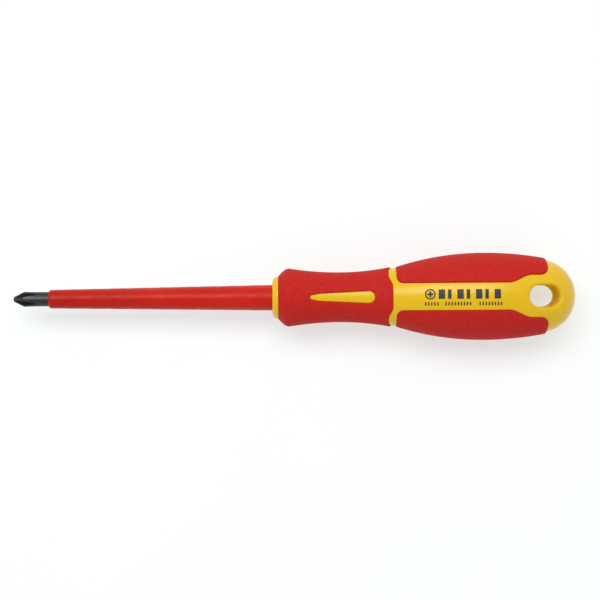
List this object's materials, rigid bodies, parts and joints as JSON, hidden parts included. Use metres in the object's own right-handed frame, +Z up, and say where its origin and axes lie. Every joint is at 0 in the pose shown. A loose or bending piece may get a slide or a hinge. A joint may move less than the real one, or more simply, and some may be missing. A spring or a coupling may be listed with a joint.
{
  "type": "insulated screwdriver",
  "caption": "Cross-tip screwdriver with an insulated blade, a two-material handle with soft grip panels, and a hang slot through the butt.",
  "frame": {"origin": "centre of the bounding box at its lowest face, below the middle of the tool's length", "axes": "X along the tool with the tip at -X and the butt at +X, +Z up through the printed face and the hang slot"},
  "size_m": [0.217, 0.0338, 0.033],
  "materials": {
    "steel": "dark ground steel",
    "insulation": "glossy moulded insulation",
    "core": "hidden natural plastic",
    "hard_plastic": "semi-gloss moulded plastic",
    "soft_grip": "fine matte soft-touch",
    "ink": "thin pad print"
  },
  "bodies": {
    "root": {"blade": "steel", "blade_sleeve": "insulation", "handle_core": "core", "handle_body": "hard_plastic", "front_grip": "soft_grip", "rear_grip_right": "soft_grip", "rear_grip_left": "soft_grip", "print_mark": "ink"}
  },
  "joints": []
}
